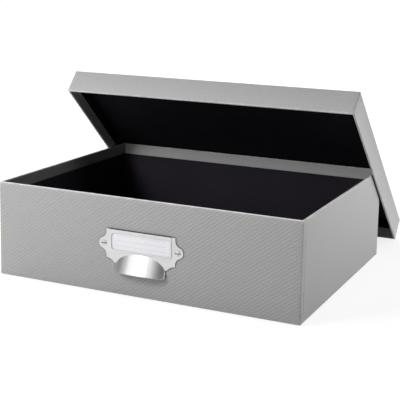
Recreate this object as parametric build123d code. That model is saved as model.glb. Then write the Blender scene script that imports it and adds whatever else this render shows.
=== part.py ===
from build123d import *

import math
import os

# Document box of covered board: an open tray, a lift-off lid and a metal label holder with a
# finger pull. Millimetres. X runs along the front, Y from front to back, Z up. The origin is the
# middle of the tray's underside. The lid is drawn off the tray: its rear rim stands on the table
# behind the tray and the inside of its panel leans on the tray's rear rim.

# Overall sizes of the tray
tray_width = 335.0
tray_depth = 265.0
tray_height = 100.0

# Board and papers
board = 1.8                   # greyboard
cover = 0.3                   # ribbed cover paper
lining = 0.25                 # lining paper
stay = 0.2                    # gummed corner strip
fold_radius = 0.6             # outside radius of a folded cover edge
inner_fold_share = 0.7        # radius on the inside of the rim, as a share of the outside one
turn_in = 13.0                # cover seen inside the rim
turn_overlap = 5.0            # cover running on under the lining
under_turn = 15.0             # cover turned under the base
stay_leg = 15.0               # corner strip on each side of a corner
base_margin = 4.0             # base paper kept back from the tray's edges

# Lid
lid_clearance = 0.5           # between the lid's lining and the tray, each side
skirt_height = 28.0
lid_foot_gap = 73.6           # from the tray's back to the lid's rear rim on the table
lean_gap = 0.3                # between the lid's lining and the tray's rear rim

# Label holder, seen from the front. Its heights are counted from the ears' centre line
holder_height = 51.7          # ears' centre line above the table
sheet = 0.8                   # metal sheet
plate_half = 38.4             # half width of the plate
plate_top = 15.0
shoulder_start = 11.5         # where the shoulders leave the plate's sides
ear_offset = 41.0             # ear centre from the middle
ear_radius = 5.9
ear_join = 78.0               # degrees above the horizontal where shoulder meets ear
cusp_drop = 14.5              # lower corners
scallop_half = 29.2           # half width where the scallops end
scallop_drop = 19.3
scallop_bow = 1.3             # depth of each scallop
neck_across = 0.35            # lowest point of a shoulder's curve, from its side towards the ear
neck_down = 0.38              # and from the ear up towards the shoulder's start
kink_round = 0.8              # where shoulder meets ear
edge_break = 0.2              # bevel round the plate's front

# Card pocket in the plate
card_width = 66.8
card_height = 20.2
card_thick = 0.4
card_play = 0.4               # card to pocket, each side and in front
card_foot = 0.1               # under the card
card_lift_off = 0.1           # between the card and the tray's front
card_corner = 0.8             # cut off each corner
pocket_lip = 1.0              # frame in front of the card's foot, under the window
frame_round_share = 0.9       # bend outside the pocket frame, as a share of the sheet
window_round_share = 0.6      # edge round the window, as a share of the sheet
window_width = 64.4
window_height = 16.4
window_centre = 2.9
window_corner = 3.2

# Finger pull
pull_half = 28.0              # half width
pull_rim = -26.9              # level of the open lower rim
pull_rise = 19.5              # from the rim to the top of the hood
pull_reach = 9.0              # how far the rim stands out at the middle
pull_side = 1.8               # straight part of each end, square to the plate

# Screws and sleeve nuts
screw_radius = 1.35
head_radius = 3.2
head_height = 1.6
slot_width = 0.9
slot_depth = 0.8
sleeve_radius = 2.1
sleeve_bore = 1.5
sleeve_flange = 4.5
sleeve_flange_thick = 0.9
hole_play = 0.15              # round a sleeve or screw in its hole

# Worked out from the sizes above
wall = cover + board + cover + lining
lid_width = tray_width + 2 * (wall + lid_clearance)
lid_depth = tray_depth + 2 * (wall + lid_clearance)
front_face = -tray_depth / 2
plate_face = front_face - sheet
pocket_depth = card_lift_off + card_thick + card_play
pocket_face = front_face - pocket_depth - sheet
pocket_foot = window_centre - window_height / 2 - pocket_lip


def block(x0, x1, y0, y1, z0, z1):
    """Box between two limits along each axis."""
    centre = ((x0 + x1) / 2, (y0 + y1) / 2, (z0 + z1) / 2)
    return Pos(*centre) * Box(abs(x1 - x0), abs(y1 - y0), abs(z1 - z0))


def centred(width, depth, z0, z1):
    """Box centred on the Z axis."""
    return block(-width / 2, width / 2, -depth / 2, depth / 2, z0, z1)


def ring(width, depth, thick, z0, z1):
    """Rectangular tube whose wall runs inwards from the given size."""
    return centred(width, depth, z0, z1) - centred(width - 2 * thick, depth - 2 * thick, z0, z1)


def rod(radius, x, z, y0, y1):
    """Round bar along Y."""
    middle = Pos(x, (y0 + y1) / 2, z) * Rot(90, 0, 0)
    return middle * Cylinder(radius, abs(y1 - y0))


# A covered board box of any size, drawn with its closed side down at z = 0 and its rim at z = height.
# The tray and the lid are both made from it.


def corner_stays(width, depth, height):
    """Four L strips pasted round the upright corners of the boards."""
    x, y = width / 2 - cover, depth / 2 - cover
    low, high = 2 * cover, height - 2 * cover
    strips = []
    for side in (-1, 1):
        for end in (-1, 1):
            leg = block(side * x, side * (x - stay_leg), end * y, end * (y - stay_leg), low, high)
            inner_x, inner_y = side * (x - stay), end * (y - stay)
            far_x, far_y = side * (x - 2 * stay_leg), end * (y - 2 * stay_leg)
            strips.append(leg - block(inner_x, far_x, inner_y, far_y, low, high))
    return strips


def long_board(width, depth, height, end):
    """Front or rear wall board, running the whole width. End is -1 for the front."""
    x, y = width / 2 - cover, depth / 2 - cover
    plain = block(-x, x, end * y, end * (y - board), cover, height - cover)
    return plain - corner_stays(width, depth, height)


def short_board(width, depth, height, side):
    """Left or right wall board, between the long ones. Side is -1 for the left."""
    x, y = width / 2 - cover, depth / 2 - cover - board
    plain = block(side * x, side * (x - board), -y, y, cover, height - cover)
    return plain - corner_stays(width, depth, height)


def closed_board(width, depth):
    """Board of the closed side, between the four walls."""
    inset = 2 * (cover + board)
    return centred(width - inset, depth - inset, cover, cover + board)


def cover_wrap(width, depth, height, closed):
    """Cover paper outside the walls, folded over the rim and down the inside.
    The lid's goes on across its closed side, the tray's is turned under it."""
    skin = fillet(centred(width, depth, 0, height).edges(), fold_radius)
    skin -= centred(width - 2 * cover, depth - 2 * cover, cover, height - cover)
    inner = 2 * (cover + board)
    skin += ring(width - inner, depth - inner, cover, height - turn_in - turn_overlap, height)
    mouth = inner + 2 * cover
    skin -= centred(width - mouth, depth - mouth, cover, height + 1)
    if not closed:
        skin -= centred(width - 2 * under_turn, depth - 2 * under_turn, -1, cover)
    rim = skin.faces().sort_by(Axis.Z)[-1]
    return fillet(rim.inner_wires()[0].edges(), fold_radius * inner_fold_share)


def wall_lining(width, depth, height):
    """Lining strip round the inside walls, stepping over the turned-in cover."""
    inner = 2 * (cover + board)
    step = height - turn_in - turn_overlap
    low = ring(width - inner, depth - inner, lining, cover + board + lining, step)
    inner += 2 * cover
    high = ring(width - inner, depth - inner, lining, step - lining, height - turn_in)
    joint = ring(width - inner + 2 * cover, depth - inner + 2 * cover, cover + lining, step - lining, step)
    return low + joint + high


def panel_lining(width, depth):
    """Lining sheet on the inside of the closed side."""
    inset = 2 * (cover + board)
    return centred(width - inset, depth - inset, cover + board, cover + board + lining)


def base_paper():
    """Sheet on the underside, thicker where it fills the space inside the turned-under cover."""
    sheet_part = centred(tray_width - 2 * base_margin, tray_depth - 2 * base_margin, 0, cover)
    middle = centred(tray_width - 2 * under_turn, tray_depth - 2 * under_turn, cover, 2 * cover)
    return sheet_part + middle


# Label holder, pull, screws and card


def plate_outline():
    """Face of the stamped plate in the XZ plane, from the ears' centre line."""
    join = math.radians(ear_join)
    join_x = ear_offset + ear_radius * math.cos(join)
    join_z = ear_radius * math.sin(join)
    neck_x = plate_half + neck_across * (join_x - plate_half)
    neck_z = join_z + neck_down * (shoulder_start - join_z)
    scallop_x = (plate_half + scallop_half) / 2
    scallop_z = -(cusp_drop + scallop_drop) / 2 + scallop_bow
    upper = ThreePointArc((plate_half, shoulder_start), (neck_x, neck_z), (join_x, join_z))
    ear = ThreePointArc((join_x, join_z), (ear_offset + ear_radius, 0), (join_x, -join_z))
    lower = ThreePointArc((join_x, -join_z), (neck_x, -neck_z), (plate_half, -shoulder_start))
    cusp = Line((plate_half, -shoulder_start), (plate_half, -cusp_drop))
    scallop = ThreePointArc(
        (plate_half, -cusp_drop), (scallop_x, scallop_z), (scallop_half, -scallop_drop)
    )
    foot = Line((scallop_half, -scallop_drop), (0, -scallop_drop))
    side = Line((plate_half, plate_top), (plate_half, shoulder_start))
    top = Line((0, plate_top), (plate_half, plate_top))
    half = Wire([top, side, upper, ear, lower, cusp, scallop, foot])
    whole = Face(Wire(half.edges() + mirror(half, Plane.YZ).edges()))
    kinks = [corner for corner in whole.vertices() if abs(corner.X) > plate_half + 0.1]
    return Plane.XZ * fillet(kinks, kink_round)


def holder_plate():
    """Flat stamped sheet with a raised pocket frame, a window and two screw holes."""
    flat = extrude(Pos(0, front_face, holder_height) * plate_outline(), sheet, dir=(0, -1, 0))
    flat = chamfer(flat.faces().sort_by(Axis.Y)[0].edges(), edge_break)
    card_z = holder_height + pocket_foot
    top = holder_height + plate_top
    reach = card_width / 2 + card_play
    frame = block(-reach - sheet, reach + sheet, front_face, pocket_face, card_z - sheet, top)
    sides = frame.edges().filter_by(Axis.Z).group_by(Axis.Y)[0]
    foot = frame.edges().filter_by(Axis.X).group_by(Axis.Y)[0].sort_by(Axis.Z)[0]
    frame = fillet(sides + [foot], sheet * frame_round_share)
    plate = flat + frame
    plate -= block(-reach, reach, front_face, pocket_face + sheet, card_z, top + 1)
    opening = RectangleRounded(window_width, window_height, window_corner)
    window = Pos(0, front_face, holder_height + window_centre) * (Plane.XZ * opening)
    plate -= extrude(window, 2 * pocket_depth + 2 * sheet, dir=(0, -1, 0))
    for side in (-1, 1):
        hole = screw_radius + hole_play
        plate -= rod(hole, side * ear_offset, holder_height, front_face + 1, plate_face - 1)
    rim = plate.faces().filter_by(Axis.Y).group_by(Axis.Y)[0].sort_by(SortBy.AREA)[-1]
    return fillet(rim.inner_wires()[0].edges(), sheet * window_round_share)


def pull_bulk(inset):
    """Solid hood: half an oval in plan, leaning back until it runs out at y = 0."""
    half, bow = pull_half - inset, pull_reach - pull_side - inset
    front = EllipticalCenterArc((0, -pull_side), half, bow, start_angle=180, arc_size=180)
    left = Line((-half, 0), (-half, -pull_side))
    right = Line((half, -pull_side), (half, 0))
    plan = Face(Wire([left, front, right, Line((half, 0), (-half, 0))]))
    lean = (0, pull_reach, pull_rise)
    leaning = extrude(plan, math.hypot(pull_reach, pull_rise), dir=lean)
    return leaning & block(-pull_half, pull_half, 0, -pull_reach, -1, pull_rise + 1)


def cup_pull():
    """Hollow half-moon pull, open below, standing on the plate's front."""
    shell = pull_bulk(0) - pull_bulk(sheet)
    return Pos(0, plate_face, holder_height + pull_rim) * shell


def screws():
    """Two slotted screws with domed heads on the plate's ears."""
    dome = (head_radius**2 + head_height**2) / (2 * head_height)
    pieces = []
    for side in (-1, 1):
        x = side * ear_offset
        head = Pos(x, plate_face - head_height + dome, holder_height) * Sphere(dome)
        head &= rod(head_radius, x, holder_height, plate_face, plate_face - head_height)
        shank = rod(screw_radius, x, holder_height, plate_face, front_face + wall)
        groove = block(
            x - head_radius, x + head_radius, plate_face - head_height, plate_face - head_height + slot_depth,
            holder_height - slot_width / 2, holder_height + slot_width / 2,
        )
        pieces.append(head + shank - groove)
    return pieces


def sleeve_nuts():
    """Two sleeves through the front wall, with flat flanges on the lining."""
    inside = front_face + cover + board + lining
    pieces = []
    for side in (-1, 1):
        x = side * ear_offset
        barrel = rod(sleeve_radius, x, holder_height, front_face, inside)
        flange = rod(sleeve_flange, x, holder_height, inside, inside + sleeve_flange_thick)
        flange = chamfer(flange.faces().sort_by(Axis.Y)[-1].edges(), sleeve_flange_thick / 2)
        bore = rod(sleeve_bore, x, holder_height, front_face - 1, front_face + wall + 0.1)
        pieces.append(barrel + flange - bore)
    return pieces


def label_card():
    """Card standing in the pocket, with its corners cut a little."""
    foot = holder_height + pocket_foot + card_foot
    back = front_face - card_lift_off
    card = block(-card_width / 2, card_width / 2, back, back - card_thick, foot, foot + card_height)
    return chamfer(card.edges().filter_by(Axis.Y), card_corner)


def sleeve_holes():
    """Clearance for the two sleeves through the front wall."""
    holes = []
    for side in (-1, 1):
        x = side * ear_offset
        holes.append(rod(sleeve_radius + hole_play, x, holder_height, front_face - 1, front_face + 2 * wall))
    return holes


def on_base(shape):
    """Tray pieces stand on the base paper."""
    return Pos(0, 0, cover) * shape


def leaned(shape):
    """Turn a lid piece over and lean it on the tray's rear rim."""
    inside = skirt_height - cover - board - lining - lean_gap
    span = math.hypot(lid_foot_gap, tray_height)
    lean = math.atan2(tray_height, lid_foot_gap) - math.asin(inside / span)
    settle = fold_radius * (math.sin(lean) + math.cos(lean) - 1)
    upright = Pos(0, -lid_depth / 2, skirt_height) * Rot(0, 180, 0) * shape
    foot = Pos(0, tray_depth / 2 + lid_foot_gap, -settle)
    return foot * Rot(-math.degrees(lean), 0, 0) * upright


def tray_pieces():
    """Every tray node's solids by node name."""
    size = (tray_width, tray_depth, tray_height - cover)
    holes = sleeve_holes()
    return {
        "tray_base_board": on_base(closed_board(*size[:2])),
        "tray_front_board": on_base(long_board(*size, -1)) - holes,
        "tray_rear_board": on_base(long_board(*size, 1)),
        "tray_left_board": on_base(short_board(*size, -1)),
        "tray_right_board": on_base(short_board(*size, 1)),
        "tray_corner_stays": [on_base(strip) for strip in corner_stays(*size)],
        "tray_cover_wrap": on_base(cover_wrap(*size, False)) - holes,
        "tray_wall_lining": on_base(wall_lining(*size)) - holes,
        "tray_floor_lining": on_base(panel_lining(*size[:2])),
        "tray_base_paper": base_paper(),
    }


def holder_pieces():
    """Every node of the label holder."""
    return {
        "label_holder_plate": holder_plate(),
        "cup_pull": cup_pull(),
        "holder_screws": screws(),
        "holder_sleeve_nuts": sleeve_nuts(),
        "label_card": label_card(),
    }


def lid_pieces():
    """Every lid node, turned over so that the tray's left is the lid's right."""
    size = (lid_width, lid_depth, skirt_height)
    return {
        "lid_top_board": leaned(closed_board(*size[:2])),
        "lid_front_board": leaned(long_board(*size, -1)),
        "lid_rear_board": leaned(long_board(*size, 1)),
        "lid_left_board": leaned(short_board(*size, 1)),
        "lid_right_board": leaned(short_board(*size, -1)),
        "lid_corner_stays": [leaned(strip) for strip in corner_stays(*size)],
        "lid_cover_wrap": leaned(cover_wrap(*size, True)),
        "lid_wall_lining": leaned(wall_lining(*size)),
        "lid_panel_lining": leaned(panel_lining(*size[:2])),
    }


def solids_of(shape):
    """Every solid of a shape or of a list of shapes."""
    shapes = shape if isinstance(shape, list) else [shape]
    return [solid for one in shapes for solid in one.solids()]


os.makedirs("parts", exist_ok=True)
for pieces in (tray_pieces(), holder_pieces(), lid_pieces()):
    for name, shape in pieces.items():
        solids = solids_of(shape)
        export_step(solids[0] if len(solids) == 1 else Compound(solids), f"parts/{name}.step")
        print(name, len(solids), "solids")
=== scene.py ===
# Covered board document box with its lid leaned on the back, and a metal label holder in front
import math

import bmesh
import bpy
import numpy as np
from mathutils import Matrix, Vector


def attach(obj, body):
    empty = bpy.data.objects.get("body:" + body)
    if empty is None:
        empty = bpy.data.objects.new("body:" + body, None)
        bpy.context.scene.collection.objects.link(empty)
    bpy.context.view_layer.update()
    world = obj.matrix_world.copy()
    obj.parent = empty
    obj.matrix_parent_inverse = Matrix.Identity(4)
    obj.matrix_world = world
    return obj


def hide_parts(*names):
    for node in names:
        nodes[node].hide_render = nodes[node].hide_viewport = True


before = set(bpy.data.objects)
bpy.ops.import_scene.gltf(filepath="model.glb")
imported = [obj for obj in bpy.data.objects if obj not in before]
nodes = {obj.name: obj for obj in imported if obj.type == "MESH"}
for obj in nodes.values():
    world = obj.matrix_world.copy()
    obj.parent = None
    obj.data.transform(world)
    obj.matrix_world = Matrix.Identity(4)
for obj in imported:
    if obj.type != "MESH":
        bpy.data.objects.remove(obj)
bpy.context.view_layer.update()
mm = 0.001  # lengths in the dictionaries are in mm, and those of the stage below in metres
weld, sliver = 1e-6, 1e-7  # metres: points this close are one, and edges this short go
print("frame loaded:", len(nodes), "nodes")


# Mesh helpers

def sheetMesh(name, points, uv=None, closedRows=False, closedCols=False, sharpAngle=35, marks=None):
    # points is rows x columns x 3; neighbouring rows and columns are joined by quads,
    # the last row or column to the first where that way is closed
    rows, cols = points.shape[:2]
    r = np.arange(rows if closedRows else rows - 1)
    c = np.arange(cols if closedCols else cols - 1)
    r0, c0 = np.meshgrid(r, c, indexing="ij")
    r1, c1 = (r0 + 1) % rows, (c0 + 1) % cols
    quads = np.stack([r0 * cols + c0, r0 * cols + c1, r1 * cols + c1, r1 * cols + c0], -1)
    mesh = bpy.data.meshes.new(name)
    mesh.from_pydata(points.reshape(-1, 3).tolist(), [], quads.reshape(-1, 4).tolist())
    if uv is not None:
        layer = mesh.uv_layers.new(name="paper")
        corner = np.empty(len(mesh.loops), np.int32)
        mesh.loops.foreach_get("vertex_index", corner)
        layer.data.foreach_set("uv", uv.reshape(-1, 2)[corner].astype(np.float32).ravel())
    for label, values in (marks or {}).items():
        mark = mesh.attributes.new(label, "FLOAT", "POINT")
        mark.data.foreach_set("value", np.ascontiguousarray(values, np.float32).ravel())
    tidy = bmesh.new()
    tidy.from_mesh(mesh)
    bmesh.ops.remove_doubles(tidy, verts=tidy.verts, dist=weld)
    bmesh.ops.dissolve_degenerate(tidy, edges=tidy.edges, dist=sliver)
    bmesh.ops.recalc_face_normals(tidy, faces=tidy.faces)
    tidy.to_mesh(mesh)
    tidy.free()
    mesh.shade_smooth()
    mesh.set_sharp_from_angle(angle=math.radians(sharpAngle))
    piece = bpy.data.objects.new(name, mesh)
    bpy.context.scene.collection.objects.link(piece)
    return piece


def settle(piece, body, slot, *stoodFor):
    # a finished piece gets its slot's material and takes the place of the CAD nodes named last
    piece.data.materials.clear()
    piece.data.materials.append(looks[slot])
    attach(piece, body)
    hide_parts(*stoodFor)
    return piece


def smoothStep(x):
    # 0 below 0, 1 above 1, a smooth S between
    t = np.clip(x, 0, 1)
    return t * t * (3 - 2 * t)


def ripple(a, b, seed, waves=7, longest=0.11, shortest=0.02):
    # the mean of sine waves of seeded direction, length and phase, within -1..1
    rng = np.random.default_rng(seed)
    total = np.zeros(np.broadcast(a, b).shape)
    for wave in range(waves):
        turn = rng.uniform(0, 2 * math.pi)
        length = rng.uniform(shortest, longest)
        phase = rng.uniform(0, 2 * math.pi)
        along = a * math.cos(turn) + b * math.sin(turn)
        total += np.sin(2 * math.pi * along / length + phase)
    return total / waves


# Node helpers

def addNode(tree, kind, **settings):
    node = tree.nodes.new(kind)
    for name, value in settings.items():
        setattr(node, name, value)
    return node


def feed(tree, socket, value):
    # a socket takes a link or a plain value
    if isinstance(value, bpy.types.NodeSocket):
        tree.links.new(value, socket)
    elif value is not None:
        socket.default_value = value


def sums(tree, kind, a, b=None, c=None, clamp=False):
    node = addNode(tree, "ShaderNodeMath", operation=kind, use_clamp=clamp)
    for socket, value in zip(node.inputs, (a, b, c)):
        feed(tree, socket, value)
    return node.outputs[0]


def centred(tree, value):
    return sums(tree, "SUBTRACT", value, 0.5)


def apart(tree, value, middle):
    # how far a value lies from a middle one, either way
    return sums(tree, "ABSOLUTE", sums(tree, "SUBTRACT", value, middle))


def blendColours(tree, share, low, high):
    node = addNode(tree, "ShaderNodeMix", data_type="RGBA")
    feed(tree, node.inputs[0], share)
    feed(tree, node.inputs[6], low)
    feed(tree, node.inputs[7], high)
    return node.outputs[2]


def spread(tree, value, low, high, toLow, toHigh):
    node = addNode(tree, "ShaderNodeMapRange")
    for socket, item in zip(node.inputs, (value, low, high, toLow, toHigh)):
        feed(tree, socket, item)
    return node.outputs[0]


def uneven(tree, value, low, high):
    # nearly all of a noise lies between 0.3 and 0.7, which becomes low to high
    return spread(tree, value, 0.3, 0.7, low, high)


def noise(tree, vector, scale, detail=3, rough=0.5):
    # the scale is about how many blotches go into a metre
    node = addNode(tree, "ShaderNodeTexNoise")
    feed(tree, node.inputs["Vector"], vector)
    feed(tree, node.inputs["Scale"], scale)
    feed(tree, node.inputs["Detail"], detail)
    feed(tree, node.inputs["Roughness"], rough)
    return node.outputs[0]


def placed(tree, vector, turn=(0, 0, 0), scale=(1, 1, 1)):
    node = addNode(tree, "ShaderNodeMapping")
    feed(tree, node.inputs["Vector"], vector)
    node.inputs["Rotation"].default_value = turn
    node.inputs["Scale"].default_value = scale
    return node.outputs[0]


def objectPlace(tree):
    return addNode(tree, "ShaderNodeTexCoord").outputs["Object"]


def axes(tree, vector):
    # the X, Y and Z of a vector
    node = addNode(tree, "ShaderNodeSeparateXYZ")
    feed(tree, node.inputs[0], vector)
    return node.outputs


def markOf(tree, name):
    # a value that the mesh holds for each of its points
    return addNode(tree, "ShaderNodeAttribute", attribute_name=name).outputs["Fac"]


def grey(level):
    # a screen level 0..255 as the linear value that a colour socket takes
    s = level / 255
    return s / 12.92 if s <= 0.04045 else ((s + 0.055) / 1.055) ** 2.4


def paint(red, green, blue):
    return (grey(red), grey(green), grey(blue), 1)


def startGroup(name, inputs, outputs):
    group = bpy.data.node_groups.new(name, "ShaderNodeTree")
    for label, kind, value in inputs:
        socket = group.interface.new_socket(label, in_out="INPUT", socket_type="NodeSocket" + kind)
        if value is not None:
            socket.default_value = value
    for label in outputs:
        group.interface.new_socket(label, in_out="OUTPUT", socket_type="NodeSocketFloat")
    source = group.nodes.new("NodeGroupInput").outputs
    target = group.nodes.new("NodeGroupOutput").inputs
    return group, source, target


def useGroup(tree, group, **values):
    node = addNode(tree, "ShaderNodeGroup", node_tree=group)
    for label, value in values.items():
        feed(tree, node.inputs[label], value)
    return node.outputs


def startMaterial(name):
    material = bpy.data.materials.new(name)
    material.use_nodes = True
    tree = material.node_tree
    return material, tree, tree.nodes["Principled BSDF"]


def dress(tree, shader, colour, roughness, relief):
    # the last step of each material; its relief is in millimetres
    feed(tree, shader.inputs["Base Color"], colour)
    feed(tree, shader.inputs["Roughness"], roughness)
    bump = addNode(tree, "ShaderNodeBump")
    feed(tree, bump.inputs["Height"], relief)
    bump.inputs["Distance"].default_value = mm
    tree.links.new(bump.outputs[0], shader.inputs["Normal"])


# Shared effects

effectLook = {
    "ribBend": 70.0, "fibreTurn": (0.3, 0.2, 0.5), "fibreStretch": (0.25, 1, 1),
    "rubSamples": 4, "rubTurn": 0.85, "rubPatches": (0.4, 0.65), "rubLeast": 0.35,
    "brushStretch": (1, 1, 0.016), "smudges": (0.45, 0.7),
}


def makeRibGroup():
    # parallel rounded ribs: a cosine of the distance across them, bent a little by slow noise
    group, given, out = startGroup("diagonalRibs", [
        ("Vector", "Vector", None), ("Turn", "Float", 0.6),
        ("Spacing", "Float", 0.003), ("Wander", "Float", 0.1)], ["Ridge"])
    turned = addNode(group, "ShaderNodeVectorRotate", rotation_type="Z_AXIS")
    feed(group, turned.inputs["Vector"], given["Vector"])
    feed(group, turned.inputs["Angle"], given["Turn"])
    slow = noise(group, given["Vector"], effectLook["ribBend"], 2)
    crossed = axes(group, turned.outputs[0])[1]
    across = sums(group, "ADD", sums(group, "DIVIDE", crossed, given["Spacing"]),
                  sums(group, "MULTIPLY", slow, given["Wander"]))
    wave = sums(group, "COSINE", sums(group, "MULTIPLY", across, 2 * math.pi))
    feed(group, out["Ridge"], sums(group, "MULTIPLY_ADD", wave, 0.5, 0.5))
    return group


def makeFibreGroup():
    # paper pulp: fine speckle, short fibres drawn out one way and slow clouding, each about 0.5
    group, given, out = startGroup("paperFibres", [
        ("Vector", "Vector", None), ("Fineness", "Float", 1400.0),
        ("Clouds", "Float", 22.0)], ["Speckle", "Fibre", "Cloud"])
    feed(group, out["Speckle"], noise(group, given["Vector"], given["Fineness"], 2, 0.6))
    drawn = placed(group, given["Vector"], effectLook["fibreTurn"], effectLook["fibreStretch"])
    feed(group, out["Fibre"], noise(group, drawn, given["Fineness"], 3, 0.7))
    feed(group, out["Cloud"], noise(group, given["Vector"], given["Clouds"], 3, 0.55))
    return group


def makeRubGroup():
    # worn folds: how far a rounded-off normal turns away from the real one, broken up by noise
    group, given, out = startGroup("foldRub", [
        ("Vector", "Vector", None), ("Radius", "Float", 0.0015), ("Break", "Float", 160.0)], ["Mask"])
    soft = addNode(group, "ShaderNodeBevel", samples=effectLook["rubSamples"])
    feed(group, soft.inputs["Radius"], given["Radius"])
    real = addNode(group, "ShaderNodeNewGeometry")
    match = addNode(group, "ShaderNodeVectorMath", operation="DOT_PRODUCT")
    feed(group, match.inputs[0], soft.outputs[0])
    feed(group, match.inputs[1], real.outputs["Normal"])
    turned = spread(group, match.outputs["Value"], 1.0, effectLook["rubTurn"], 0.0, 1.0)
    patches = noise(group, given["Vector"], given["Break"], 3)
    patchy = spread(group, patches, *effectLook["rubPatches"], effectLook["rubLeast"], 1.0)
    feed(group, out["Mask"], sums(group, "MULTIPLY", turned, patchy, clamp=True))
    return group


def makeBrushGroup():
    # brushed metal: noise stretched about 60 times along Z, in wide bands and in fine hairlines
    group, given, out = startGroup("brushLines", [
        ("Vector", "Vector", None), ("Bands", "Float", 260.0),
        ("Hairs", "Float", 2600.0)], ["Band", "Hair"])
    drawn = placed(group, given["Vector"], scale=effectLook["brushStretch"])
    feed(group, out["Band"], noise(group, drawn, given["Bands"], 2, 0.5))
    feed(group, out["Hair"], noise(group, drawn, given["Hairs"], 3, 0.6))
    return group


def makeHandlingGroup():
    # slow smudges from handling, 0 where clean and 1 where dull
    group, given, out = startGroup("handling", [
        ("Vector", "Vector", None), ("Size", "Float", 30.0)], ["Mask"])
    slow = noise(group, given["Vector"], given["Size"], 4, 0.6)
    feed(group, out["Mask"], spread(group, slow, *effectLook["smudges"], 0.0, 1.0))
    return group


ribGroup = makeRibGroup()
fibreGroup = makeFibreGroup()
rubGroup = makeRubGroup()
brushGroup = makeBrushGroup()
handlingGroup = makeHandlingGroup()
print("shared effects ready")


# Papers and boards

# the pale colour serves the rubbed folds and the rim, partly wear and partly a painted highlight
coverLook = {
    "colour": (171, 171, 171), "wearAndHighlight": (226, 226, 225),
    "ribAngle": 36, "ribSpacing": 3.15, "ribWander": 0.35, "ribTone": 0.088, "ribHeight": 0.155,
    "patch": 150.0, "patchDepth": 0.9,
    "fineAngle": 36, "fineSpacing": 0.79, "fineWander": 0.2, "fineHeight": 0.008,
    "grain": 860.0, "grainTone": 0.5, "speckleTone": 0.1, "cloudTone": 0.05,
    "fineness": 1300.0, "clouds": 16.0, "fibreHeight": 0.012,
    # painted contact shade: how far it reaches, how dark it gets, and where it fades in above the table
    "contactShade": 2.2, "contactShadeDepth": 1.9, "contactShadeRays": 8, "contactShadeFrom": 2, "contactShadeFull": 6,
    "rubShare": 0.75, "rubWidth": 1.3, "rubBreak": 140.0, "rimHighlightShare": 0.4,
    "roughness": (0.47, 0.6), "specular": 0.16,
}


def coverPaper():
    # ribbed silver-grey cover paper, its ribs following the sheet through every fold: the colour
    # times 1 plus ribs, grain and clouds, times painted contact shade in the nooks and painted shade,
    # and paler along rubbed folds and the rim, partly wear and partly a painted highlight
    look = coverLook
    material, tree, shader = startMaterial("coverPaper")
    sheetUv = addNode(tree, "ShaderNodeUVMap", uv_map="paper").outputs[0]
    place = objectPlace(tree)
    ribs = useGroup(tree, ribGroup, Vector=sheetUv, Turn=math.radians(look["ribAngle"]),
                    Spacing=look["ribSpacing"] * mm, Wander=look["ribWander"])
    fine = useGroup(tree, ribGroup, Vector=sheetUv, Turn=math.radians(look["fineAngle"]),
                    Spacing=look["fineSpacing"] * mm, Wander=look["fineWander"])
    pulp = useGroup(tree, fibreGroup, Vector=sheetUv,
                    Fineness=look["fineness"], Clouds=look["clouds"])
    rub = useGroup(tree, rubGroup, Vector=place,
                   Radius=look["rubWidth"] * mm, Break=look["rubBreak"])
    nearRim, rimHighlight = markOf(tree, "rim"), markOf(tree, "lip")
    shade, pressed = markOf(tree, "shade"), markOf(tree, "ribs")
    # the ribs are pressed deeper in some patches than in others, under a coarser grain
    patches = centred(tree, noise(tree, sheetUv, look["patch"], 2))
    depth = sums(tree, "MULTIPLY_ADD", patches, look["patchDepth"], 1.0)
    ridge = sums(tree, "MULTIPLY", centred(tree, ribs["Ridge"]),
                 sums(tree, "MULTIPLY", pressed, depth))
    grain = centred(tree, noise(tree, sheetUv, look["grain"], 1))
    tone = 1.0
    for part, share in (
            (ridge, look["ribTone"]), (centred(tree, pulp["Speckle"]), look["speckleTone"]),
            (centred(tree, pulp["Cloud"]), look["cloudTone"]), (grain, look["grainTone"])):
        tone = sums(tree, "MULTIPLY_ADD", part, share, tone)
    # painted contact shade darkens the paper in the nooks beside what lies on it, fading out near the
    # table so that the foot stays clear
    contactShade = addNode(tree, "ShaderNodeAmbientOcclusion", samples=look["contactShadeRays"])
    contactShade.inputs["Distance"].default_value = look["contactShade"] * mm
    offTable = spread(tree, axes(tree, place)[2], look["contactShadeFrom"] * mm, look["contactShadeFull"] * mm, 0.0, 1.0)
    hidden = sums(tree, "MULTIPLY", sums(tree, "SUBTRACT", 1.0, contactShade.outputs["AO"]), offTable)
    darker = sums(tree, "MULTIPLY", hidden, look["contactShadeDepth"])
    clear = sums(tree, "SUBTRACT", 1.0, darker, clamp=True)
    tone = sums(tree, "MULTIPLY", sums(tree, "MULTIPLY", tone, clear), shade)
    toned = addNode(tree, "ShaderNodeVectorMath", operation="SCALE")
    toned.inputs[0].default_value = paint(*look["colour"])[:3]
    feed(tree, toned.inputs["Scale"], tone)
    # paler along rubbed folds near the rim, partly wear and partly a painted highlight, and along the
    # rim by the painted highlight mark
    wearAndHighlight = sums(tree, "MULTIPLY", sums(tree, "MULTIPLY", rub["Mask"], look["rubShare"]), nearRim)
    pale = sums(tree, "MULTIPLY_ADD", rimHighlight, look["rimHighlightShare"], wearAndHighlight, clamp=True)
    colour = blendColours(tree, pale, toned.outputs[0], paint(*look["wearAndHighlight"]))
    relief = sums(tree, "MULTIPLY", ridge, look["ribHeight"])
    relief = sums(tree, "MULTIPLY_ADD", fine["Ridge"], look["fineHeight"], relief)
    relief = sums(tree, "MULTIPLY_ADD", pulp["Fibre"], look["fibreHeight"], relief)
    shader.inputs["Specular IOR Level"].default_value = look["specular"]
    dress(tree, shader, colour, uneven(tree, pulp["Fibre"], *look["roughness"]), relief)
    return material


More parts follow.
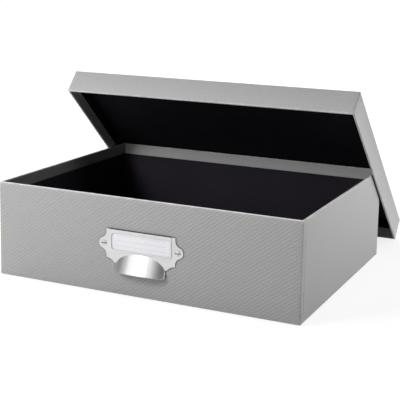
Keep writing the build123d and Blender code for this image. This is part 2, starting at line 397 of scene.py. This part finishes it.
# the tray and lid colours are one paper, lighter in the tray and darker in the lid: painted light and
# shade
liningLook = {
    "tray": (48, 45, 52), "trayFleck": (61, 59, 65), "lid": (31, 28, 33), "lidFleck": (42, 40, 45),
    "swing": 5, "flecks": (0.58, 0.72), "fleckShare": 0.8,
    "fineness": 1500.0, "clouds": 14.0, "grain": 0.02,
    "smudge": 18.0, "roughness": (0.85, 0.75), "specular": 0.04,
}


def liningPaper(part):
    # black lining paper with a close grain and a few paler fibres; its tray copy is painted lighter and
    # its lid copy darker, as painted light and shade on one paper
    look = liningLook
    material, tree, shader = startMaterial(part + "Lining")
    place = objectPlace(tree)
    pulp = useGroup(tree, fibreGroup, Vector=place, Fineness=look["fineness"], Clouds=look["clouds"])
    smudge = useGroup(tree, handlingGroup, Vector=place, Size=look["smudge"])
    darker, paler = [paint(*[v + way * look["swing"] for v in look[part]]) for way in (-1, 1)]
    clouded = blendColours(tree, pulp["Cloud"], darker, paler)
    flecks = spread(tree, pulp["Fibre"], *look["flecks"], 0.0, look["fleckShare"])
    colour = blendColours(tree, flecks, clouded, paint(*look[part + "Fleck"]))
    rough = spread(tree, smudge["Mask"], 0.0, 1.0, *look["roughness"])
    shader.inputs["Specular IOR Level"].default_value = look["specular"]
    dress(tree, shader, colour, rough, sums(tree, "MULTIPLY", pulp["Speckle"], look["grain"]))
    return material


boardLook = {
    "colour": (150, 144, 133), "dark": (112, 106, 97), "light": (190, 185, 174),
    "darks": (0.62, 0.72), "lights": (0.6, 0.75), "lightShare": 0.8,
    "fineness": 900.0, "clouds": 30.0, "grain": 0.04, "roughness": (0.8, 0.92),
}


def greyBoard():
    # pressed waste-paper board: warm grey with dark and pale specks
    look = boardLook
    material, tree, shader = startMaterial("greyBoard")
    pulp = useGroup(tree, fibreGroup, Vector=objectPlace(tree),
                    Fineness=look["fineness"], Clouds=look["clouds"])
    darks = spread(tree, pulp["Speckle"], *look["darks"], 0.0, 1.0)
    lights = spread(tree, pulp["Fibre"], *look["lights"], 0.0, look["lightShare"])
    colour = blendColours(tree, darks, paint(*look["colour"]), paint(*look["dark"]))
    colour = blendColours(tree, lights, colour, paint(*look["light"]))
    dress(tree, shader, colour, uneven(tree, pulp["Cloud"], *look["roughness"]),
          sums(tree, "MULTIPLY", pulp["Speckle"], look["grain"]))
    return material


tapeLook = {
    "colour": (176, 142, 98), "streak": (150, 116, 76), "streaks": (0.35, 0.65),
    "fineness": 700.0, "clouds": 25.0, "grain": 0.015, "smudge": 60.0, "roughness": (0.6, 0.45),
}


def gummedPaper():
    # brown gummed strip with its machine-direction streaks
    look = tapeLook
    material, tree, shader = startMaterial("gummedPaper")
    place = objectPlace(tree)
    pulp = useGroup(tree, fibreGroup, Vector=place, Fineness=look["fineness"], Clouds=look["clouds"])
    smudge = useGroup(tree, handlingGroup, Vector=place, Size=look["smudge"])
    streaks = spread(tree, pulp["Fibre"], *look["streaks"], 0.0, 1.0)
    colour = blendColours(tree, streaks, paint(*look["streak"]), paint(*look["colour"]))
    rough = spread(tree, smudge["Mask"], 0.0, 1.0, *look["roughness"])
    dress(tree, shader, colour, rough, sums(tree, "MULTIPLY", pulp["Fibre"], look["grain"]))
    return material


baseLook = {
    "colour": (148, 148, 150), "scuff": (182, 182, 183),
    "slideTurn": 0.25, "slideStretch": 0.04, "slideFineness": 900.0,
    "slides": (0.68, 0.76), "slideShare": 0.35,
    "rubWidth": 2.0, "rubBreak": 200.0, "rubShare": 0.3,
    "fineness": 1300.0, "clouds": 18.0, "grain": 0.02, "roughness": (0.6, 0.75),
}


def basePaper():
    # plain grey paper under the tray, scuffed paler where it slides on a shelf
    look = baseLook
    material, tree, shader = startMaterial("basePaper")
    place = objectPlace(tree)
    pulp = useGroup(tree, fibreGroup, Vector=place, Fineness=look["fineness"], Clouds=look["clouds"])
    rub = useGroup(tree, rubGroup, Vector=place,
                   Radius=look["rubWidth"] * mm, Break=look["rubBreak"])
    drawn = placed(tree, place, turn=(0, 0, look["slideTurn"]), scale=(1, look["slideStretch"], 1))
    slid = spread(tree, noise(tree, drawn, look["slideFineness"], 2),
                  *look["slides"], 0.0, look["slideShare"])
    scuffs = sums(tree, "ADD", slid, sums(tree, "MULTIPLY", rub["Mask"], look["rubShare"]), clamp=True)
    colour = blendColours(tree, scuffs, paint(*look["colour"]), paint(*look["scuff"]))
    dress(tree, shader, colour, uneven(tree, pulp["Cloud"], *look["roughness"]),
          sums(tree, "MULTIPLY", pulp["Speckle"], look["grain"]))
    return material


# Metals and card

# the dark edge colour is painted shade on the plate's edge faces
plateLook = {
    "colour": (219, 218, 219), "dull": (208, 206, 207), "edgeShade": (96, 95, 94),
    "dullShare": 0.6, "smudge": 70.0, "bands": 300.0, "hairs": 3200.0, "hairHeight": 0.0025,
    "metallic": 0.45, "roughness": (0.37, 0.49),
    "flat": 0.72, "upright": 0.3, "frameHalf": 36.0, "frameMiddle": 54.0, "frameTall": 12.3,
}


def satinPlate():
    # stamped steel with a pale satin plating, its hairlines running along the plate; the edge faces
    # outside the raised frame, which don't face forward, get painted shade
    look = plateLook
    material, tree, shader = startMaterial("satinPlate")
    place = objectPlace(tree)
    lengthways = placed(tree, place, turn=(0, math.radians(90), 0))
    lines = useGroup(tree, brushGroup, Vector=lengthways, Bands=look["bands"], Hairs=look["hairs"])
    smudge = useGroup(tree, handlingGroup, Vector=place, Size=look["smudge"])
    dulled = sums(tree, "MULTIPLY", smudge["Mask"], look["dullShare"])
    colour = blendColours(tree, dulled, paint(*look["colour"]), paint(*look["dull"]))
    faced = axes(tree, addNode(tree, "ShaderNodeTexCoord").outputs["Normal"])[1]
    onEdge = spread(tree, sums(tree, "ABSOLUTE", faced), look["flat"], look["upright"], 0.0, 1.0)
    where = axes(tree, place)
    aside = sums(tree, "GREATER_THAN", sums(tree, "ABSOLUTE", where[0]), look["frameHalf"] * mm)
    beyond = sums(tree, "GREATER_THAN", apart(tree, where[2], look["frameMiddle"] * mm),
                  look["frameTall"] * mm)
    shadedEdge = sums(tree, "MULTIPLY", onEdge, sums(tree, "MAXIMUM", aside, beyond))
    colour = blendColours(tree, shadedEdge, colour, paint(*look["edgeShade"]))
    shader.inputs["Metallic"].default_value = look["metallic"]
    dress(tree, shader, colour, uneven(tree, lines["Band"], *look["roughness"]),
          sums(tree, "MULTIPLY", lines["Hair"], look["hairHeight"]))
    return material


pullShape = {
    "half": 28.0, "reach": 9.0, "rise": 19.5, "side": 1.8, "sheet": 0.8, "rimRound": 0.3,
    "face": -133.3, "foot": 24.8,
    "planSteps": 121, "sideSteps": 5, "climbSteps": 25, "rollSteps": 9,
}
pullLook = {
    "colour": (202, 201, 202), "streak": (192, 190, 191), "streaks": (0.35, 0.65),
    "bands": 420.0, "hairs": 3600.0, "hairHeight": 0.0006, "metallic": 1.0, "roughness": (0.39, 0.33),
}


def brushedPull():
    # bright brushed plating, the brushing running up the hood from its rim
    look = pullLook
    material, tree, shader = startMaterial("brushedPull")
    lean = math.atan2(pullShape["reach"], pullShape["rise"])
    along = placed(tree, objectPlace(tree), turn=(lean, 0, 0))
    lines = useGroup(tree, brushGroup, Vector=along, Bands=look["bands"], Hairs=look["hairs"])
    streaks = spread(tree, lines["Band"], *look["streaks"], 0.0, 1.0)
    colour = blendColours(tree, streaks, paint(*look["streak"]), paint(*look["colour"]))
    shader.inputs["Metallic"].default_value = look["metallic"]
    dress(tree, shader, colour, uneven(tree, lines["Band"], *look["roughness"]),
          sums(tree, "MULTIPLY", lines["Hair"], look["hairHeight"]))
    return material


screwLook = {
    "colour": (222, 221, 221), "worn": (180, 178, 177), "slot": (70, 68, 67),
    "rubWidth": 0.4, "rubBreak": 900.0,
    "lineTurn": 0.9, "bands": 900.0, "hairs": 5200.0, "hairHeight": 0.002,
    "metallic": 0.7, "roughness": (0.5, 0.62),
    "slotHalf": 0.5, "slotSoft": 0.06, "slotFloor": -134.35, "level": 51.7,
}


def screwMetal():
    # plated screws: bright faces, with painted shade in the slot
    look = screwLook
    material, tree, shader = startMaterial("screwMetal")
    place = objectPlace(tree)
    rub = useGroup(tree, rubGroup, Vector=place,
                   Radius=look["rubWidth"] * mm, Break=look["rubBreak"])
    turned = placed(tree, place, turn=(0, look["lineTurn"], 0))
    lines = useGroup(tree, brushGroup, Vector=turned, Bands=look["bands"], Hairs=look["hairs"])
    where = axes(tree, place)
    # the slot is painted dark: painted shade in the recess
    inSlot = spread(tree, apart(tree, where[2], look["level"] * mm),
                    (look["slotHalf"] + look["slotSoft"]) * mm,
                    (look["slotHalf"] - look["slotSoft"]) * mm, 0.0, 1.0)
    below = sums(tree, "GREATER_THAN", where[1], look["slotFloor"] * mm)
    metal = blendColours(tree, rub["Mask"], paint(*look["colour"]), paint(*look["worn"]))
    slotShade = sums(tree, "MULTIPLY", inSlot, below)
    colour = blendColours(tree, slotShade, metal, paint(*look["slot"]))
    shader.inputs["Metallic"].default_value = look["metallic"]
    dress(tree, shader, colour, uneven(tree, lines["Band"], *look["roughness"]),
          sums(tree, "MULTIPLY", lines["Hair"], look["hairHeight"]))
    return material


cardLook = {
    "colour": (241, 240, 245), "fleck": (230, 229, 235), "flecks": (0.45, 0.7), "fleckShare": 0.6,
    "rule": (178, 181, 190), "ruleShare": 0.8,
    "pitch": 5.2, "lowestRule": 50.6, "ruleThick": 0.22, "reach": 28.0,
    "fineness": 2200.0, "clouds": 60.0, "grain": 0.008, "roughness": (0.5, 0.62),
}


def cardStock():
    # cool white card, ruled with faint lines to write on
    look = cardLook
    material, tree, shader = startMaterial("cardStock")
    place = objectPlace(tree)
    pulp = useGroup(tree, fibreGroup, Vector=place, Fineness=look["fineness"], Clouds=look["clouds"])
    where = axes(tree, place)
    start = (look["lowestRule"] - look["pitch"] / 2) * mm
    rows = sums(tree, "DIVIDE", sums(tree, "SUBTRACT", where[2], start), look["pitch"] * mm)
    fromRule = sums(tree, "MULTIPLY", apart(tree, sums(tree, "FRACT", rows), 0.5), look["pitch"])
    inked = sums(tree, "LESS_THAN", fromRule, look["ruleThick"] / 2)
    inside = sums(tree, "LESS_THAN", sums(tree, "ABSOLUTE", where[0]), look["reach"] * mm)
    ink = sums(tree, "MULTIPLY", sums(tree, "MULTIPLY", inked, inside), look["ruleShare"])
    flecks = spread(tree, pulp["Fibre"], *look["flecks"], 0.0, look["fleckShare"])
    plain = blendColours(tree, flecks, paint(*look["colour"]), paint(*look["fleck"]))
    colour = blendColours(tree, ink, plain, paint(*look["rule"]))
    dress(tree, shader, colour, uneven(tree, pulp["Cloud"], *look["roughness"]),
          sums(tree, "MULTIPLY", pulp["Speckle"], look["grain"]))
    return material


looks = {
    "cover_paper": coverPaper(), "lining_paper": liningPaper("tray"), "greyboard": greyBoard(),
    "gummed_paper": gummedPaper(), "base_paper": basePaper(), "holder_metal": satinPlate(),
    "pull_metal": brushedPull(), "screw_metal": screwMetal(), "card": cardStock(),
}
# the lid's linings take the darker copy of the lining paper, as painted shade
looks["lid_wall_lining"] = looks["lid_panel_lining"] = liningPaper("lid")
# a node has its slot's material, unless it has one under its own name
for name, node in nodes.items():
    for socket in node.material_slots:
        slot = socket.material.name.split(".")[0]
        socket.material = looks.get(name, looks[slot])
print("materials ready:", len(looks))


# Cover papers

paperShape = {
    "corner": 0.6, "leastCorner": 0.06, "fold": 0.6, "rimFold": 0.98, "innerFold": 0.9,
    "thick": 0.3, "wall": 2.4, "turnIn": 18.0,
    "lapAt": 7.0, "lapThick": 0.1, "lapRise": 0.02, "waver": 0.035,
    "lapStep": 0.00012,  # a share of half the depth
    "plainFoot": 1, "plainRim": 0.05, "plainInset": 0.5,  # outside these the sheet lies even
    "panelEdge": 0.5, "closeBy": 0.01,
    "plainRub": 0.15, "rubFrom": 5, "rubFade": 2, "rimHighlightFrom": 1.1, "rimHighlightFade": 0.8,
    "insideShadeDrop": 3, "frontCornerShadeReach": 95.0,
    "sideSteps": 64, "cornerSteps": 7,
    "underSteps": 26, "foldSteps": 6, "wallSteps": 22, "rimSteps": 8, "lipSteps": 7, "turnInSteps": 10,
}
# the slope, inside and front-corner values set painted shade on the cover paper, and the side rim value
# sets a weaker painted highlight on the side and rear rims
trayShape = {
    "width": 335.0, "depth": 265.0, "height": 99.7, "lift": 0.3, "underTurn": 15.0, "seed": 11,
    "frontShadeSlope": 0.05, "sideShadeSlope": 0.22, "sideRimHighlight": 0.3, "frontRibs": 1.0, "sideRibs": 0.35,
    "rearInsideShade": 1.25, "sideInsideShade": 0.7, "frontCornerShade": 0.07,
}
lidShape = {
    "width": 341.3, "depth": 271.3, "height": 28.0, "lean": 41.866, "foot": 206.1, "settle": 0.247,
    "middleGap": 0.03, "seed": 23,
    "frontShadeSlope": 0.16, "sideShadeSlope": 0.2, "sideRimHighlight": 0.7, "frontRibs": 0.6, "sideRibs": 0.35,
    "rearInsideShade": 1.0, "sideInsideShade": 1.0, "frontCornerShade": 0.0,
}


def paperPath(depth):
    # once round the box, anticlockwise from the front left: every sample is a place between the
    # corner centres (-1..1 both ways) and the way that it faces, so an inset loop keeps its samples;
    # the sides have two close samples at each lap
    shape = paperShape
    lap = 1 - 2 * shape["lapAt"] / depth
    even = np.linspace(-1, 1, shape["sideSteps"])
    step = shape["lapStep"]
    lapped = np.sort(np.r_[even, -lap - step, -lap + step, lap - step, lap + step])
    turn = np.linspace(-90, 0, shape["cornerSteps"])[1:-1]
    runs = []
    for side, facing in enumerate((-90, 0, 90, 180)):
        run = lapped if side % 2 else even
        cornerX, cornerY = [(run, -1), (1, run), (-run, 1), (-1, -run)][side]
        flat = np.broadcast_arrays(cornerX, cornerY, facing + 0 * run)
        endX, endY = [(1, -1), (1, 1), (-1, 1), (-1, -1)][side]
        arc = np.broadcast_arrays(endX, endY, turn + 90 + facing)
        runs += [np.stack(flat, -1), np.stack(arc, -1)]
    path = np.concatenate(runs)
    facing = np.radians(path[:, 2])
    return path[:, :2], np.stack([np.cos(facing), np.sin(facing)], -1)


def bend(centre, radius, start, end, steps):
    # points of an arc in the profile plane, inset and height, angles in degrees
    angle = np.radians(np.linspace(start, end, steps))
    return np.stack([centre[0] + radius * np.cos(angle), centre[1] + radius * np.sin(angle)], -1)


def paperProfile(height, inmost):
    # section through one wall: under or across the closed side, up outside, over the rim, down
    # inside, then back along the board's faces so that the sheet is closed
    shape = paperShape
    fold, inner, wall, thick = shape["fold"], shape["innerFold"], shape["wall"], shape["thick"]
    rimFold = shape["rimFold"]
    across = np.linspace(inmost, fold, shape["underSteps"])[:-1]
    low = np.stack([across, 0 * across], -1)
    foot = bend((fold, fold), fold, 270, 180, shape["foldSteps"])
    up = np.linspace(fold, height - rimFold, shape["wallSteps"])[1:-1]
    rise = np.stack([0 * up, up], -1)
    top = bend((rimFold, height - rimFold), rimFold, 180, 90, shape["rimSteps"])
    lip = bend((wall - inner, height - inner), inner, 90, 0, shape["lipSteps"])
    down = np.linspace(height - inner, height - shape["turnIn"], shape["turnInSteps"])[1:]
    drop = np.stack([wall + 0 * down, down], -1)
    outside = np.concatenate([low, foot, rise, top, lip, drop])
    back = np.array([
        (wall - thick, height - shape["turnIn"]), (wall - thick, height - thick),
        (thick, height - thick), (thick, thick), (inmost, thick)])
    return outside, back


def boxPaper(name, box, inmost, place):
    # the profile carried round the path; a slow ripple moves the outside faces in by a few
    # hundredths, and where the front and rear sheets turn the corners they sit under the side sheets
    shape = paperShape
    width, depth, height = box["width"], box["depth"], box["height"]
    spots, facing = paperPath(depth)
    outside, back = paperProfile(height, inmost)
    profile = np.concatenate([outside, back])
    inset, level = profile[:, 0], profile[:, 1]
    run = np.r_[0, np.cumsum(np.hypot(*np.diff(profile, axis=0).T))] - inmost
    radius = np.maximum(shape["corner"] - inset, shape["leastCorner"])
    x = spots[:, :1] * (width / 2 - inset - radius) + facing[:, :1] * radius
    y = spots[:, 1:] * (depth / 2 - inset - radius) + facing[:, 1:] * radius
    uv = np.stack([x + facing[:, :1] * (inset + run), y + facing[:, 1:] * (inset + run)], -1)
    aside, front = np.abs(facing[:, :1]), np.clip(-facing[:, 1:], 0, 1)
    # laps and ripple, on the outside faces between the lower fold and the middle of the rim's
    outer = (np.arange(len(profile)) < len(outside)) & (inset < shape["plainInset"])
    outer = outer & (level > shape["plainFoot"]) & (level < height - shape["plainRim"])
    beyond = np.abs(spots[:, 1:]) * depth / 2 - (depth / 2 - shape["lapAt"])
    onFlat = aside > 0.999  # the side walls without their corners
    dip = np.where(onFlat, smoothStep(beyond / shape["lapRise"]), aside)
    dip = dip * shape["lapThick"] * outer
    slow = ripple(uv[..., 0] * mm, uv[..., 1] * mm, box["seed"])
    dip = dip + shape["waver"] * (0.5 + 0.5 * slow) * outer
    x = x - facing[:, :1] * dip
    y = y - facing[:, 1:] * dip
    z = np.broadcast_to(level, x.shape)
    points = place(np.stack([x, y, z], -1)) * mm
    # folds are rubbed most near the rim, partly wear and partly a painted highlight, and the rim fold
    # gets a painted highlight, strongest on the front and weaker on the sides and rear
    upper = smoothStep((z - height + shape["rubFrom"]) / shape["rubFade"])
    nearRim = shape["plainRub"] + (1 - shape["plainRub"]) * upper
    lip = smoothStep((z - height + shape["rimHighlightFrom"]) / shape["rimHighlightFade"])
    lip = lip * (front + (1 - front) * box["sideRimHighlight"])
    # painted shade: the walls grow lighter from their fold up to the rim, and the turned-in sheet is
    # painted lighter on the front and rear walls and darker on the side walls
    turned = inset > shape["wall"] - shape["closeBy"]
    shadeSlope = box["frontShadeSlope"] * (1 - aside) + box["sideShadeSlope"] * aside
    inward = 0.5 + 0.5 * smoothStep((z - height) / shape["insideShadeDrop"] + 1)
    shade = 1 + shadeSlope * (np.where(turned, inward, z / height) - 0.5)
    turnedInShade = box["rearInsideShade"] * (1 - aside) + box["sideInsideShade"] * aside
    shade = np.where(turned, shade * turnedInShade, shade)
    # painted shade: the sides are darker near the front corner
    frontCornerShade = aside * (1 - smoothStep((y + depth / 2) / shape["frontCornerShadeReach"]))
    shade = shade * (1 - box["frontCornerShade"] * frontCornerShade)
    onSide = aside * (level > shape["panelEdge"])
    ribs = box["frontRibs"] * (1 - onSide) + box["sideRibs"] * onSide
    # the lip mark is a painted highlight along the rim, and the shade mark is painted shade
    marks = {"rim": nearRim, "lip": lip, "shade": shade, "ribs": ribs}
    return sheetMesh(name, points, uv * mm, closedRows=True, closedCols=True, sharpAngle=30, marks=marks)


def onTray(points):
    return points + np.array([0, 0, trayShape["lift"]])


def onLid(points):
    # turned over, stood on its rear rim behind the tray and leaned back on it
    shape = lidShape
    x, y, z = -points[..., 0], points[..., 1] - shape["depth"] / 2, shape["height"] - points[..., 2]
    c, s = math.cos(math.radians(shape["lean"])), math.sin(math.radians(shape["lean"]))
    return np.stack([x, y * c + z * s + shape["foot"], z * c - y * s - shape["settle"]], -1)


trayPaper = boxPaper("trayPaper", trayShape, trayShape["underTurn"], onTray)
settle(trayPaper, "tray", "cover_paper", "tray_cover_wrap")
lidPaper = boxPaper("lidPaper", lidShape, lidShape["depth"] / 2 - lidShape["middleGap"], onLid)
settle(lidPaper, "lid", "cover_paper", "lid_cover_wrap")
print("cover papers:", len(trayPaper.data.polygons), len(lidPaper.data.polygons), "faces")


# Finger pull

def pullPlan(half, bow, side):
    # plan of the hood from its left end: a short straight, half an oval, a short straight
    steps = pullShape["sideSteps"]
    angle = np.linspace(math.pi, 2 * math.pi, pullShape["planSteps"])
    oval = np.stack([half * np.cos(angle), bow * np.sin(angle) - side], -1)
    start = np.stack([np.full(steps, -half), np.linspace(0, -side, steps + 1)[:-1]], -1)
    return np.concatenate([start, oval, start[::-1] * (-1, 1)])


def makePull():
    # each plan point runs up along the lean until it meets the plate; the section goes down the
    # outside, round the rim and up the inside, and closes along the plate
    shape = pullShape
    bow = shape["reach"] - shape["side"]
    outer = pullPlan(shape["half"], bow, shape["side"])
    inner = pullPlan(shape["half"] - shape["sheet"], bow - shape["sheet"], shape["side"])
    lean = np.array([0, shape["reach"], shape["rise"]])
    share = np.linspace(1, 0, shape["climbSteps"])

    def skin(plan, low):
        full = np.stack([plan[:, 0], plan[:, 1], 0 * plan[:, 0]], -1)
        top = (-plan[:, 1] / shape["reach"])[:, None]
        first = np.minimum(low, top)
        climb = first + (top - first) * share
        return full[:, None, :] + climb[..., None] * lean

    low = shape["rimRound"] / shape["rise"]
    outside, inside = skin(outer, low), skin(inner, low)[:, ::-1]
    roll = np.radians(np.linspace(0, 180, shape["rollSteps"]))[1:-1]
    mix = ((1 - np.cos(roll)) / 2)[None, :, None]
    first, last = outside[:, -1:, :], inside[:, :1, :]
    rim = first * (1 - mix) + last * mix
    reachDown = np.minimum(first[..., 2:], shape["rimRound"]) * np.sin(roll)[None, :, None]
    rim = rim - reachDown * lean / shape["rise"]
    points = np.concatenate([outside, rim, inside], axis=1)
    points = (points + np.array([0, shape["face"], shape["foot"]])) * mm
    return sheetMesh("fingerPull", points, closedCols=True, sharpAngle=50)


fingerPull = settle(makePull(), "tray", "pull_metal", "cup_pull")
print("finger pull:", len(fingerPull.data.polygons), "faces")


# Card

cardShape = {
    "width": 66.8, "height": 20.2, "thick": 0.4, "cut": 0.8, "foot": 45.5, "back": -132.6, "bow": 0.3,
    "acrossSteps": 49, "upSteps": 17,
}


def makeCard():
    # a thin sheet with its corners cut, bowed forward a little at mid width
    shape = cardShape
    across = np.linspace(-1, 1, shape["acrossSteps"])
    up = np.linspace(0, 1, shape["upSteps"])
    u, v = np.meshgrid(across, up, indexing="ij")
    nearEnd = np.minimum(v, 1 - v) * shape["height"]
    halfHere = shape["width"] / 2 - np.clip(shape["cut"] - nearEnd, 0, None)
    x, z = u * halfHere, shape["foot"] + v * shape["height"]
    forward = shape["bow"] * (1 - u * u)
    front = np.stack([x, shape["back"] - shape["thick"] - forward, z], -1)
    rear = np.stack([x, shape["back"] - forward, z], -1)
    closed = np.concatenate([front, rear[:, ::-1]], axis=1)
    body = sheetMesh("labelCard", closed * mm, closedCols=True, sharpAngle=40)
    ends = bmesh.new()
    ends.from_mesh(body.data)
    bmesh.ops.holes_fill(ends, edges=[e for e in ends.edges if e.is_boundary], sides=0)
    bmesh.ops.recalc_face_normals(ends, faces=ends.faces)
    ends.to_mesh(body.data)
    ends.free()
    return body


labelCard = settle(makeCard(), "card", "card", "label_card")
print("card:", len(labelCard.data.polygons), "faces")


# Floor, light and camera

stageLook = {
    "floor": 0.8, "ownLight": 0.82, "seenFloor": 0.28, "worldFill": 0.05,
    "reach": 12.0, "steps": 5, "drop": 0.0004, "nearEdge": 0.5, "farEdge": 1.6,
}


def showAs(tree, plain, shown, output):
    # rays from the camera, off gloss and through glass meet one shader, and all others the plain one
    rays = addNode(tree, "ShaderNodeLightPath").outputs
    seen = sums(tree, "MAXIMUM", rays["Is Camera Ray"], rays["Is Glossy Ray"])
    pick = addNode(tree, "ShaderNodeMixShader")
    feed(tree, pick.inputs[0], sums(tree, "MAXIMUM", seen, rays["Is Transmission Ray"]))
    feed(tree, pick.inputs[1], plain.outputs[0])
    feed(tree, pick.inputs[2], shown.outputs[0])
    feed(tree, tree.nodes[output].inputs["Surface"], pick.outputs[0])


def makeFloor():
    # a flat sheet just under the box: it lights the box as pale paper does, and shows as white
    # with the box's shadow on it
    look = stageLook
    material, tree, shader = startMaterial("floorPaper")
    tree.nodes.remove(shader)
    plain = addNode(tree, "ShaderNodeBsdfDiffuse")
    plain.inputs["Color"].default_value = (look["floor"],) * 3 + (1,)
    shown = addNode(tree, "ShaderNodeBsdfDiffuse")
    shown.inputs["Color"].default_value = (look["seenFloor"],) * 3 + (1,)
    glow = addNode(tree, "ShaderNodeEmission")
    away = addNode(tree, "ShaderNodeVectorMath", operation="LENGTH")
    feed(tree, away.inputs[0], objectPlace(tree))
    strength = spread(tree, away.outputs["Value"],
                      look["nearEdge"], look["farEdge"], look["ownLight"], 1.0)
    feed(tree, glow.inputs["Strength"], strength)
    both = addNode(tree, "ShaderNodeAddShader")
    feed(tree, both.inputs[0], shown.outputs[0])
    feed(tree, both.inputs[1], glow.outputs[0])
    showAs(tree, plain, both, "Material Output")
    edge = np.linspace(-look["reach"], look["reach"], look["steps"])
    gridX, gridY = np.meshgrid(edge, edge, indexing="ij")
    floor = sheetMesh("floor", np.stack([gridX, gridY, 0 * gridX - look["drop"]], -1))
    floor.data.materials.append(material)


def makeWorld():
    # a faint even light, which shows as white
    world = bpy.data.worlds.new("studio")
    world.use_nodes = True
    tree = world.node_tree
    fill = tree.nodes["Background"]
    fill.inputs["Color"].default_value = (1, 1, 1, 1)
    fill.inputs["Strength"].default_value = stageLook["worldFill"]
    shown = addNode(tree, "ShaderNodeBackground")
    shown.inputs["Color"].default_value = (1, 1, 1, 1)
    shown.inputs["Strength"].default_value = 1.0
    showAs(tree, fill, shown, "World Output")
    bpy.context.scene.world = world


lamps = {
    "key": {"at": (-0.43, -0.72, 0.6), "aim": (0, -0.1, 0.06), "size": (0.3, 0.3), "watts": 5.2},
    "front": {"at": (0, -2.2, 0.4), "aim": (0, 0, 0.08), "size": (1.0, 0.4), "watts": 3.25},
    "top": {"at": (0.1, -0.25, 1.6), "aim": (0, 0, 0.1), "size": (0.8, 0.6), "watts": 2.5},
    "topRight": {"at": (0.7, 0, 1.3), "aim": (0, 0, 0.1), "size": (0.7, 0.6), "watts": 2.6},
    "lowRight": {"at": (0.9, 1.3, 0.1), "aim": (0.1, 0.1, 0.08), "size": (1.2, 0.2), "watts": 26.5},
    "left": {"at": (-1.4, 0.3, 1.1), "aim": (0, 0, 0.1), "size": (0.8, 0.8), "watts": 21.5},
    "back": {"at": (-0.75, 1.3, 1.25), "aim": (0, 0.1, 0.1), "size": (1.2, 1.2), "watts": 9.7},
    "shine": {"at": (-0.6, -1.2, 0.86), "aim": (0, -0.14, 0.04), "size": (0.42, 0.8), "watts": 4.5,
              "gloss": True},
}


def makeLamps():
    # a lamp marked gloss lights only highlights, and the others light everything but those
    for name, spec in lamps.items():
        data = bpy.data.lights.new(name, "AREA")
        data.shape = "RECTANGLE"
        data.size, data.size_y = spec["size"]
        data.energy = spec["watts"]
        lamp = bpy.data.objects.new(name, data)
        lamp.location = spec["at"]
        towards = Vector(spec["aim"]) - lamp.location
        lamp.rotation_euler = towards.to_track_quat("-Z", "Y").to_euler()
        lamp.visible_camera = False
        lamp.visible_glossy = "gloss" in spec
        lamp.visible_diffuse = "gloss" not in spec
        bpy.context.scene.collection.objects.link(lamp)


# dark boards beside the lamps, which only the metal sees: they give its curves their dark ends
flags = {
    "flagLeft": {"at": (-2.0, -0.5, 1.3), "aim": (0, -0.14, 0.04), "size": (2.6, 2.0), "shade": 0.06},
    "flagRight": {"at": (0.95, -1.6, 1.4), "aim": (0, -0.14, 0.04), "size": (3.3, 2.0), "shade": 0.06},
}


def makeFlags():
    for name, spec in flags.items():
        material, tree, shader = startMaterial(name)
        tree.nodes.remove(shader)
        glow = addNode(tree, "ShaderNodeEmission")
        glow.inputs["Color"].default_value = (1, 1, 1, 1)
        glow.inputs["Strength"].default_value = spec["shade"]
        feed(tree, tree.nodes["Material Output"].inputs["Surface"], glow.outputs[0])
        wide, tall = np.array(spec["size"]) / 2
        across, up = np.meshgrid((-wide, 0, wide), (-tall, 0, tall), indexing="ij")
        towards = Vector(spec["aim"]) - Vector(spec["at"])
        facing = np.array(towards.to_track_quat("-Z", "Y").to_matrix())
        flat = np.stack([across, up, 0 * across], -1) @ facing.T + np.array(spec["at"])
        board = sheetMesh(name, flat)
        board.data.materials.append(material)
        board.visible_camera = board.visible_diffuse = False
        board.visible_shadow = board.visible_transmission = False


cameraSet = {
    "at": (0.45497, -0.98094, 0.33015), "turn": 24.851, "tilt": 9.795, "roll": 1.090,
    "lens": 91.03, "sensor": 36, "rise": -0.16, "farthest": 50,
}


def makeCamera():
    data = bpy.data.cameras.new("camera")
    data.sensor_width = cameraSet["sensor"]
    data.lens = cameraSet["lens"]
    data.shift_y = cameraSet["rise"]
    data.clip_end = cameraSet["farthest"]
    camera = bpy.data.objects.new("camera", data)
    swing = Matrix.Rotation(math.radians(cameraSet["turn"]), 4, "Z")
    tip = Matrix.Rotation(math.radians(90 - cameraSet["tilt"]), 4, "X")
    roll = Matrix.Rotation(math.radians(cameraSet["roll"]), 4, "Z")
    camera.matrix_world = Matrix.Translation(cameraSet["at"]) @ swing @ tip @ roll
    bpy.context.scene.collection.objects.link(camera)
    bpy.context.scene.camera = camera


makeFloor()
makeWorld()
makeLamps()
makeFlags()
makeCamera()
bpy.context.scene.view_settings.view_transform = "Standard"
print("stage ready")
